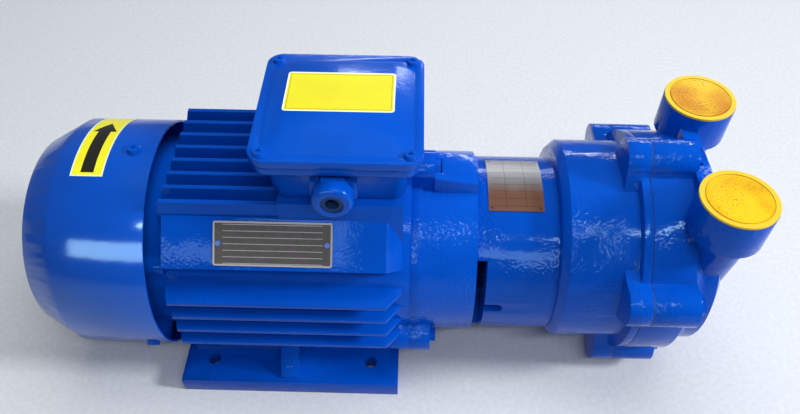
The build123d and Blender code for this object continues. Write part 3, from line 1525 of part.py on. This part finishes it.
# Push-in caps on the two nozzles
for side, cap_name in ((-1, "discharge_cap"), (1, "suction_cap")):
    with BuildPart() as cap:
        with BuildSketch(level(nozzle_top, nozzle_x, side * nozzle_y)):
            Circle(cap_flange_radius)
        extrude(amount=cap_flange_thickness)
        with BuildSketch(level(nozzle_top, nozzle_x, side * nozzle_y)):
            Circle(port_mouth_radius - cap_spigot_clearance)
            Circle(port_mouth_radius - cap_spigot_clearance - cap_wall, mode=Mode.SUBTRACT)
        extrude(amount=-cap_spigot_depth)
        with BuildSketch(level(nozzle_top + cap_flange_thickness, nozzle_x, side * nozzle_y)):
            Circle(cap_groove_radius)
            Circle(cap_groove_radius - cap_groove_width, mode=Mode.SUBTRACT)
        extrude(amount=-cap_groove_depth, mode=Mode.SUBTRACT)
    cap.part.label = cap_name
    export_step(cap.part, "parts/" + cap_name + ".step")

for piece in (motor_frame, stator_core, stator_windings, drive_end_shield, rear_end_shield,
              drive_shield_bolts, rear_shield_bolts, fan_cover, fan_cover_screws,
              rear_bearing_outer, front_bearing_outer, rear_bearing_inner, front_bearing_inner,
              wave_spring, shaft, rotor_core, rotor_end_rings, cooling_fan, fan_circlip,
              terminal_box_base, terminal_box_gasket, terminal_box_lid, lid_screws, terminal_board,
              terminal_studs, cable_gland_body, cable_gland_nut, cable_gland_seal,
              motor_nameplate, motor_plate_rivets, pump_casing, casing_screws, drain_plug,
              seal_seat, seal_head, slinger_ring, impeller, impeller_key, impeller_washer,
              impeller_screw, port_plate, valve_flap, valve_stop, valve_screws, cover_gasket,
              pump_cover, cover_bolts, pump_nameplate):
    export_step(piece.part, "parts/" + piece.part.label + ".step")
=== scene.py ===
from math import cos, radians, sin, sqrt

import bmesh
import bpy
from mathutils import Matrix, Vector


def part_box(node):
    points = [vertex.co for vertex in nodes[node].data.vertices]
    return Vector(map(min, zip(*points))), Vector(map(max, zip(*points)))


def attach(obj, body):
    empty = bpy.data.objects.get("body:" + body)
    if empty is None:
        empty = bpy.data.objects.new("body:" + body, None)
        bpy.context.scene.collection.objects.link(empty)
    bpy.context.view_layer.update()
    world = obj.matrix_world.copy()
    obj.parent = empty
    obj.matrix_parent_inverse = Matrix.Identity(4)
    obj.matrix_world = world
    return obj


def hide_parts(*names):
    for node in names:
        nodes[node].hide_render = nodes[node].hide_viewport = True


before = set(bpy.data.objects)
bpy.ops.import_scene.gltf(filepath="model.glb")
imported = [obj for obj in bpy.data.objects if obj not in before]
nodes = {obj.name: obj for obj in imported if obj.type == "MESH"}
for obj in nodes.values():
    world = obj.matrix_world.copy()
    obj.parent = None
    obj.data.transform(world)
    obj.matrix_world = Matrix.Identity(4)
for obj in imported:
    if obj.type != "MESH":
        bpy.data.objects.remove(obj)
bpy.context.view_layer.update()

# Studio: the photograph's standpoint above the terminal box side, a pale floor, a
# key lamp at the right, long narrow lamps that draw the highlights, and one broad
# softbox that only fills the shadows.
scene = bpy.context.scene
shaft_height = 0.090
sensor_width = 36
focal_pixels = 721.03
frame_pixels = 800
standpoint = Vector((0.09092, -0.36081, 0.4365 + shaft_height))
look_down = radians(48.20)
look_aside = radians(-1.16)
head_tilt = radians(-0.38)

forward = Vector((
    sin(look_aside) * cos(look_down),
    cos(look_aside) * cos(look_down),
    -sin(look_down),
))
level_right = Vector((cos(look_aside), -sin(look_aside), 0))
straight_up = level_right.cross(forward)
camera_right = level_right * cos(head_tilt) - straight_up * sin(head_tilt)
camera_up = level_right * sin(head_tilt) + straight_up * cos(head_tilt)

lens = bpy.data.cameras.new("photograph_view")
lens.sensor_width = sensor_width
lens.lens = focal_pixels / frame_pixels * sensor_width
lens.clip_start = 0.01
lens.clip_end = 50
camera = bpy.data.objects.new("photograph_view", lens)
scene.collection.objects.link(camera)
camera.matrix_world = Matrix((
    (camera_right.x, camera_up.x, -forward.x, standpoint.x),
    (camera_right.y, camera_up.y, -forward.y, standpoint.y),
    (camera_right.z, camera_up.z, -forward.z, standpoint.z),
    (0, 0, 0, 1),
))
scene.camera = camera
scene.view_settings.view_transform = "Standard"


class Tone:
    """A socket of a finish's node tree. Sums on it become Math nodes."""

    def __init__(self, tree, socket=None):
        self.tree = tree
        self.socket = socket

    def node(self, kind, sockets=(), outlet=0, **settings):
        made = self.tree.nodes.new("ShaderNode" + kind)
        for name, value in settings.items():
            setattr(made, name, value)
        for name, value in dict(sockets).items():
            if isinstance(value, Tone):
                self.tree.links.new(value.socket, made.inputs[name])
            else:
                made.inputs[name].default_value = value
        return Tone(self.tree, made.outputs[outlet] if len(made.outputs) else None)

    def sum(self, operation, first, second):
        return self.node("Math", {0: first, 1: second}, operation=operation)

    def __add__(self, other):
        return self.sum("ADD", self, other)

    __radd__ = __add__

    def __sub__(self, other):
        return self.sum("SUBTRACT", self, other)

    def __rsub__(self, other):
        return self.sum("SUBTRACT", other, self)

    def __mul__(self, other):
        return self.sum("MULTIPLY", self, other)

    def __pow__(self, other):
        return self.sum("POWER", self, other)

    def __gt__(self, other):
        return self.sum("GREATER_THAN", self, other)

    def __lt__(self, other):
        return self.sum("LESS_THAN", self, other)

    def __abs__(self):
        return self.sum("ABSOLUTE", self, 0.0)

    def fraction(self):
        return self.sum("FRACT", self, 0.0)

    def clamped(self):
        return self.node("Clamp", {"Value": self})

    def axes(self):
        """The X, Y and Z of a vector, each as a tone."""
        split = self.node("SeparateXYZ", {"Vector": self})
        return [Tone(self.tree, outlet) for outlet in split.socket.node.outputs]

    def stretched(self, scale):
        return self.node("Mapping", {"Vector": self, "Scale": scale})

    def noise(self, scale, detail):
        return self.node("TexNoise", {"Vector": self, "Scale": scale, "Detail": detail})

    def colour(self, low, high):
        """Runs from the low colour to the high one as this tone goes from 0 to 1."""
        return self.node("Mix", {0: self, 6: low, 7: high}, outlet=2, data_type="RGBA")

    def relief(self, distance, strength):
        return self.node("Bump", {"Height": self, "Distance": distance, "Strength": strength})


def new_finish(name):
    """A bare material; returns it and its object coordinates as a tone."""
    finish = bpy.data.materials.new(name)
    finish.use_nodes = True
    finish.node_tree.nodes.clear()
    return finish, Tone(finish.node_tree).node("TexCoord", outlet=3)


def close_finish(place, sockets):
    """Joins a principled surface with these sockets to the material's output."""
    surface = place.node("BsdfPrincipled", sockets)
    place.node("OutputMaterial", {"Surface": surface})


def paint_nodes(finish, *names):
    for name in names:
        mesh = nodes[name].data
        mesh.materials.clear()
        mesh.materials.append(finish)


def stand(bm, name, finish):
    """Makes an object of the scene from a bmesh, with one finish."""
    data = bpy.data.meshes.new(name)
    bm.to_mesh(data)
    bm.free()
    data.materials.append(finish)
    piece = bpy.data.objects.new(name, data)
    scene.collection.objects.link(piece)
    return piece


# Floor: one wide sheet of pale matte grey under a dim, even sky
floor_reach = 6.0
floor_finish, place = new_finish("pale_floor")
close_finish(place, {
    "Base Color": place.noise(260.0, 3.0).colour((0.54, 0.56, 0.60, 1), (0.70, 0.725, 0.76, 1)),
    "Roughness": 0.8,
    "Specular IOR Level": 0.1,
})
bm = bmesh.new()
bmesh.ops.create_grid(bm, x_segments=1, y_segments=1, size=floor_reach)
studio_floor = stand(bm, "studio_floor", floor_finish)

world = bpy.data.worlds.new("studio_air")
scene.world = world
world.use_nodes = True
world.node_tree.nodes.clear()
air = Tone(world.node_tree)
background = air.node("Background", {"Color": (0.86, 0.93, 1.0, 1), "Strength": 0.19})
air.node("OutputWorld", {"Surface": background})

for name, spot, aim, size, watts, fills, mirrored in (
    ("ceiling_lamps_front", (0.32, -0.80, 1.30), (0.12, 0.0, 0.13), (0.9, 0.07), 6.0, True, True),
    ("window_behind", (0.48, 1.50, 0.74), (0.12, 0.0, 0.13), (1.5, 0.10), 10.0, False, True),
    ("window_left", (-0.60, -1.16, 0.74), (-0.60, -0.07, 0.15), (1.4, 0.40), 12.0, False, True),
    ("lamp_right", (2.95, -0.40, 1.75), (0.08, 0.0, 0.10), (0.52, 0.52), 92.0, True, True),
    ("overhead_softbox", (0.25, 0.28, 1.50), (0.08, 0.0, 0.08), (1.3, 1.0), 14.5, True, False),
):
    lamp = bpy.data.lights.new(name, "AREA")
    lamp.shape = "RECTANGLE"
    lamp.size, lamp.size_y = size
    lamp.energy = watts
    hung = bpy.data.objects.new(name, lamp)
    scene.collection.objects.link(hung)
    hung.visible_diffuse = fills
    hung.visible_glossy = mirrored
    hung.location = spot
    hung.rotation_euler = (Vector(aim) - Vector(spot)).to_track_quat("-Z", "Y").to_euler()

# Castings: the finned frame, shields, box and both pump housings, brushed thickly
# with blue enamel. The paint rounds every edge, lies a little lumpy over the sand
# cast skin and catches the light in specks where the skin is rough.
deep_blue = (0.0003, 0.050, 0.38, 1)
bright_blue = (0.0006, 0.082, 0.54, 1)
blue_glint = (0.45, 0.82, 1.0, 1)
rough_above, rough_contrast = 0.36, 3.6
paint_depth = 0.001
same_point = 1e-6
same_height = 1e-5
flat_angle = radians(0.5)
edge_angle = radians(35)
edge_turns = 2
plateau_drop = 0.00018


def enamel(name, skin, lump, shine, mirror):
    finish, place = new_finish(name)
    drift = place.noise(22.0, 3.0)
    lumps = place.noise(150.0, 2.0)
    grit = place.noise(520.0, 0.6)
    patches = place.noise(38.0, 1.0)
    rough_here = ((patches - rough_above) * rough_contrast).clamped()
    height = lumps * lump + grit * rough_here * skin
    close_finish(place, {
        "Base Color": drift.colour(deep_blue, bright_blue),
        "Roughness": drift * 0.08 + shine,
        "Specular IOR Level": mirror,
        "Specular Tint": blue_glint,
        "Normal": height.relief(paint_depth, 1.0),
    })
    return finish


casting_paint = enamel("cast_blue_enamel", 0.50, 0.22, 0.06, 0.22)
frame_paint = enamel("frame_blue_enamel", 0.30, 0.16, 0.07, 0.14)
box_paint = enamel("box_blue_enamel", 0.09, 0.16, 0.15, 0.26)
sheet_paint = enamel("sheet_blue_enamel", 0.010, 0.05, 0.09, 0.80)


def softened(node, finish, reach):
    """A copy of a casting with its doubles merged and its edges rounded by the paint."""
    bm = bmesh.new()
    bm.from_mesh(nodes[node].data)
    bmesh.ops.remove_doubles(bm, verts=bm.verts, dist=same_point)
    bmesh.ops.dissolve_limit(bm, angle_limit=flat_angle, verts=bm.verts, edges=bm.edges)
    piece = stand(bm, "painted_" + node, finish)
    piece.data.shade_smooth()
    edge = piece.modifiers.new("rounded_edges", "BEVEL")
    edge.width = reach
    edge.segments = edge_turns
    edge.limit_method = "ANGLE"
    edge.angle_limit = edge_angle
    edge.use_clamp_overlap = True
    edge.harden_normals = False
    edge.miter_outer = "MITER_ARC"
    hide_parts(node)
    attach(piece, "base")
    return piece


for node, coat, reach in (
    ("motor_frame", frame_paint, 0.0008),
    ("drive_end_shield", casting_paint, 0.0012),
    ("rear_end_shield", frame_paint, 0.0008),
    ("terminal_box_base", box_paint, 0.0012),
    ("terminal_box_lid", box_paint, 0.0016),
    ("pump_casing", casting_paint, 0.0016),
    ("pump_cover", casting_paint, 0.0018),
):
    cast_piece = softened(node, coat, reach)
    if node == "terminal_box_lid":
        # the plateau sinks a little, so that the foil on it stays inside the lid
        plateau = max(corner.co.z for corner in cast_piece.data.vertices)
        for corner in cast_piece.data.vertices:
            if corner.co.z > plateau - same_height:
                corner.co.z -= plateau_drop

# Fan cover: drawn from thin sheet and sprayed the same blue, so it is smoother and
# shinier than the castings.
softened("fan_cover", sheet_paint, 0.0005)

# Screws, bolts, drain plug, cable gland and the edge of the box gasket: all painted
# over together with the terminal box.
paint_nodes(
    box_paint, "fan_cover_screws", "drive_shield_bolts", "rear_shield_bolts", "lid_screws",
    "cover_bolts", "drain_plug", "cable_gland_body", "cable_gland_nut", "terminal_box_gasket",
)

# Rubber: pump gasket, slinger and valve flap, in dull black.
rubber_finish, place = new_finish("black_rubber")
bloom = place.noise(300.0, 3.0)
close_finish(place, {
    "Base Color": bloom.colour((0.010, 0.010, 0.012, 1), (0.028, 0.028, 0.030, 1)),
    "Roughness": bloom * 0.2 + 0.6,
})
paint_nodes(rubber_finish, "cover_gasket", "slinger_ring", "valve_flap")

# Gland seal: the same rubber in the nut's mouth, dusted blue by the sprayed paint.
dusted_finish, place = new_finish("paint_dusted_rubber")
dust = place.noise(420.0, 2.0)
close_finish(place, {
    "Base Color": dust.colour((0.004, 0.014, 0.045, 1), (0.008, 0.060, 0.22, 1)),
    "Roughness": dust * 0.2 + 0.5,
    "Specular IOR Level": 0.2,
})
paint_nodes(dusted_finish, "cable_gland_seal")

# Machined steel of the shaft, bearings and inner screws, with fine turning marks.
steel_finish, place = new_finish("machined_steel")
turning = place.stretched((1.0, 9.0, 9.0)).noise(900.0, 2.0)
close_finish(place, {
    "Base Color": turning.colour((0.36, 0.37, 0.38, 1), (0.55, 0.56, 0.57, 1)),
    "Metallic": 1.0,
    "Roughness": turning * 0.15 + 0.25,
})
paint_nodes(
    steel_finish, "shaft", "rear_bearing_outer", "front_bearing_outer", "rear_bearing_inner",
    "front_bearing_inner", "wave_spring", "fan_circlip", "casing_screws", "seal_head",
    "impeller_key", "impeller_washer", "impeller_screw", "valve_stop", "valve_screws",
)

# Transit caps: push-in yellow plastic, with a paler rim, and inside its groove a
# glossier, more orange disc that is pebbled and a little scorched in specks.
nozzle_x, nozzle_y = 0.2984, 0.0495
disc_radius = 0.0212
cap_finish, place = new_finish("yellow_cap_plastic")
px, py, _ = place.axes()
offset = place.node("CombineXYZ", {0: px - nozzle_x, 1: abs(py) - nozzle_y})
from_axis = place.node("VectorMath", {0: offset}, outlet=1, operation="LENGTH")
disc = from_axis < disc_radius
pebble = place.noise(620.0, 2.0)
scorch = place.noise(95.0, 3.0)
drift = place.noise(34.0, 1.0)
freckles = ((pebble - 0.53) * 9.0).clamped() * ((scorch - 0.40) * 4.0).clamped() * disc
paler_near_cap = (py < 0.0) * 0.55
disc_shade = ((drift - 0.42) * 3.4 + paler_near_cap).clamped()
disc_yellow = disc_shade.colour((0.52, 0.21, 0.003, 1), (0.76, 0.50, 0.014, 1))
cap_yellow = disc.colour((0.74, 0.49, 0.035, 1), disc_yellow)
close_finish(place, {
    "Base Color": (freckles * 0.7).colour(cap_yellow, (0.30, 0.13, 0.008, 1)),
    "Roughness": 0.38 - disc * 0.18,
    "Specular IOR Level": 0.2,
    "Specular Tint": (1.0, 0.86, 0.45, 1),
    "Normal": (pebble * (0.15 + disc * 0.85)).relief(0.0005, 0.8),
})
paint_nodes(cap_finish, "suction_cap", "discharge_cap")

# Other inner finishes, black moulding to ceramic, and the plate's two rivet heads,
# which the blue paint covers too.
for name, low, high, metal, rough, members in (
    ("black_moulding", (0.012, 0.012, 0.014, 1), (0.03, 0.03, 0.032, 1), 0.0, 0.5,
     ("cooling_fan", "terminal_board")),
    ("varnished_copper", (0.35, 0.10, 0.03, 1), (0.60, 0.22, 0.08, 1), 0.7, 0.35,
     ("stator_windings",)),
    ("laminated_iron", (0.10, 0.10, 0.11, 1), (0.2, 0.2, 0.21, 1), 0.8, 0.45,
     ("stator_core", "rotor_core")),
    ("cast_aluminium", (0.55, 0.56, 0.58, 1), (0.7, 0.71, 0.72, 1), 1.0, 0.4,
     ("rotor_end_rings",)),
    ("painted_rivet_heads", (0.004, 0.05, 0.26, 1), (0.02, 0.10, 0.40, 1), 0.1, 0.3,
     ("motor_plate_rivets",)),
    ("cast_bronze", (0.42, 0.25, 0.09, 1), (0.58, 0.38, 0.16, 1), 1.0, 0.35,
     ("impeller", "port_plate")),
    ("turned_brass", (0.60, 0.42, 0.13, 1), (0.75, 0.55, 0.2, 1), 1.0, 0.25,
     ("terminal_studs",)),
    ("lapped_ceramic", (0.72, 0.71, 0.66, 1), (0.8, 0.79, 0.75, 1), 0.0, 0.15,
     ("seal_seat",)),
):
    finish, place = new_finish(name)
    grain = place.noise(260.0, 3.0)
    close_finish(place, {
        "Base Color": grain.colour(low, high),
        "Metallic": metal,
        "Roughness": grain * 0.12 + rough,
    })
    paint_nodes(finish, *members)

# Motor plate: thin aluminium, printed black with a bright border and plain ruled
# lines, held by two rivets on its slanting pad.
plate_turn = sqrt(0.5)
plate_middle = Vector((0, -0.0608, shaft_height + 0.0608))
plate_half = Vector((0.0400, 0.0150))
border_width = 0.0012
rule_margin = 0.0065
rules_per_metre = 230.0
gap_share = 0.90
plate_finish, place = new_finish("printed_motor_plate")
px, py, pz = place.axes()
along = abs(px - plate_middle.x)
upward = (py - plate_middle.y) * plate_turn + (pz - plate_middle.z) * plate_turn
inside_border = (along < plate_half.x - border_width) * (abs(upward) < plate_half.y - border_width)
ruling = (upward * rules_per_metre).fraction() > gap_share
printed = inside_border * (1.0 - ruling * (along < plate_half.x - rule_margin))
smudge = place.noise(240.0, 3.0)
ink = smudge.colour((0.012, 0.011, 0.012, 1), (0.042, 0.036, 0.038, 1))
close_finish(place, {
    "Base Color": printed.colour((0.15, 0.15, 0.16, 1), ink),
    "Metallic": 0.7 - printed * 0.7,
    "Roughness": smudge * 0.15 + 0.28,
    "Specular IOR Level": 0.25,
})
paint_nodes(plate_finish, "motor_nameplate")

# Pump plate: bare silver metal bent round the lantern, with a ruled grid and four small
# corner pins; the brown that grows towards the front is a painted reflection.
plate_low, plate_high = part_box("pump_nameplate")
plate_reach = (plate_high[0] - plate_low[0]) / 2
lantern_height = shaft_height - 0.004
lantern_radius = 0.0665
near_arc, far_arc = lantern_radius * radians(111.3), lantern_radius * radians(66.0)
arc_reach = (near_arc - far_arc) / 2
field_margin = 0.0022
pin_margin = 0.0024
pin_radius = 0.0009
bare_finish, place = new_finish("pump_plate_painted_reflection")
px, py, pz = place.axes()
grain = place.stretched((1.0, 14.0, 14.0)).noise(500.0, 2.0)
# painted reflection: brown mixed into the silver towards the front, its edge blotched by noise
reflection_blotches = place.noise(110.0, 3.0)
front_reflection = ((0.002 - py) * 75.0 + (reflection_blotches - 0.5) * 0.7).clamped()
metal_and_painted_reflection = front_reflection.colour((0.27, 0.27, 0.29, 1), (0.22, 0.105, 0.065, 1))
plate_arc = place.sum("ARCTAN2", pz - lantern_height, py) * lantern_radius
from_middle = abs(px - (plate_low[0] + plate_high[0]) / 2)
from_ends = abs(plate_arc - (near_arc + far_arc) / 2)
field = (from_middle < plate_reach - field_margin) * (from_ends < arc_reach - field_margin)
rules = ((plate_arc - far_arc) * 165.0).fraction() < 0.10
columns_ruled = abs(from_middle - plate_reach * 0.36) < 0.00028
ruled = field * (rules + columns_ruled).clamped()
pin_reach_x = (from_middle - (plate_reach - pin_margin)) ** 2.0
pin_reach_arc = (from_ends - (arc_reach - pin_margin)) ** 2.0
pin = (pin_reach_x + pin_reach_arc) < pin_radius ** 2
marked = (ruled * 0.45 + pin * 0.9).clamped()
close_finish(place, {
    "Base Color": marked.colour(metal_and_painted_reflection, (0.045, 0.035, 0.032, 1)),
    "Metallic": 0.65,
    "Roughness": grain * 0.16 + 0.34,
})
paint_nodes(bare_finish, "pump_nameplate")

# Rotation sticker: a yellow foil wrapped over the fan cover's drum, white at the
# edge, with one black arrow that shows which way the shaft turns.
sticker_x = (-0.1415, -0.1190)
sticker_turns = (radians(105.5), radians(52.0))
sticker_lift = 0.00012
sticker_border = 0.0009
stem_half, stem_start, stem_end = 0.0045, 0.0030, 0.0460
head_half, head_start, head_tip = 0.0085, 0.0450, 0.0600
rows, columns = 40, 6
cover_radius = max(corner.co.z for corner in nodes["fan_cover"].data.vertices) - shaft_height
foil_radius = cover_radius + sticker_lift

sticker_finish, place = new_finish("printed_yellow_foil")
px, py, pz = place.axes()
across_foil = abs(px - (sticker_x[0] + sticker_x[1]) / 2)
half_foil = (sticker_x[1] - sticker_x[0]) / 2
climb = (sticker_turns[0] - place.sum("ARCTAN2", pz - shaft_height, py)) * foil_radius
climb_total = (sticker_turns[0] - sticker_turns[1]) * foil_radius
off_the_sides = across_foil < half_foil - sticker_border
off_the_ends = (climb > sticker_border) * (climb < climb_total - sticker_border)
stem = (across_foil < stem_half) * (climb > stem_start) * (climb < stem_end)
head_slope = (head_tip - climb) * (head_half / (head_tip - head_start))
head = (across_foil < head_slope) * (climb > head_start)
yellow = place.noise(90.0, 2.0).colour((0.72, 0.66, 0.010, 1), (0.84, 0.80, 0.022, 1))
edged = (off_the_sides * off_the_ends).colour((0.72, 0.80, 0.66, 1), yellow)
close_finish(place, {
    "Base Color": (stem + head).clamped().colour(edged, (0.012, 0.012, 0.010, 1)),
    "Roughness": 0.32,
})

bm = bmesh.new()
first = bmesh.ops.create_vert(bm, co=(
    sticker_x[0],
    foil_radius * cos(sticker_turns[0]),
    shaft_height + foil_radius * sin(sticker_turns[0]),
))["vert"]
last = bmesh.ops.extrude_vert_indiv(bm, verts=first)["verts"]
bmesh.ops.translate(bm, vec=(sticker_x[1] - sticker_x[0], 0, 0), verts=last)
bmesh.ops.subdivide_edges(bm, edges=bm.edges[:], cuts=columns - 1)
bmesh.ops.spin(bm, geom=bm.verts[:] + bm.edges[:], cent=(0, 0, shaft_height), axis=(1, 0, 0),
               angle=sticker_turns[1] - sticker_turns[0], steps=rows)
sticker = stand(bm, "rotation_sticker", sticker_finish)
sticker.data.shade_smooth()
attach(sticker, "base")

# Lid panel: a bare yellow foil with rounded corners on the lid's plateau, white at
# the edge with one thin ruled frame inside.
panel_x = (0.0085, 0.0800)
panel_y = (-0.0140, 0.0255)
panel_drop = 0.00008
panel_corner = 0.0022
panel_border = 0.0010
frame_outside, frame_inside = 0.0020, 0.0024
middle_x, middle_y = (panel_x[0] + panel_x[1]) / 2, (panel_y[0] + panel_y[1]) / 2
reach_x, reach_y = (panel_x[1] - panel_x[0]) / 2, (panel_y[1] - panel_y[0]) / 2
lid_top = max(corner.co.z for corner in nodes["terminal_box_lid"].data.vertices)

panel_finish, place = new_finish("plain_yellow_foil")
px, py, _ = place.axes()


def deeper_than(margin):
    """1 where a point of the panel lies further than this inside its edge, else 0."""
    return (abs(px - middle_x) < reach_x - margin) * (abs(py - middle_y) < reach_y - margin)


yellow = place.noise(60.0, 2.0).colour((0.66, 0.60, 0.010, 1), (0.74, 0.68, 0.018, 1))
edged = deeper_than(panel_border).colour((0.78, 0.86, 0.74, 1), yellow)
ruled_frame = deeper_than(frame_outside) - deeper_than(frame_inside)
close_finish(place, {
    "Base Color": ruled_frame.colour(edged, (0.30, 0.27, 0.02, 1)),
    "Roughness": 0.30,
})

bm = bmesh.new()
seat = Matrix.Translation((middle_x, middle_y, lid_top - panel_drop))
bmesh.ops.create_grid(bm, x_segments=1, y_segments=1, size=1.0,
                      matrix=seat @ Matrix.Diagonal((reach_x, reach_y, 1, 1)))
bmesh.ops.bevel(bm, geom=bm.verts[:], offset=panel_corner, segments=5, profile=0.5,
                affect="VERTICES")
panel = stand(bm, "lid_panel", panel_finish)
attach(panel, "base")
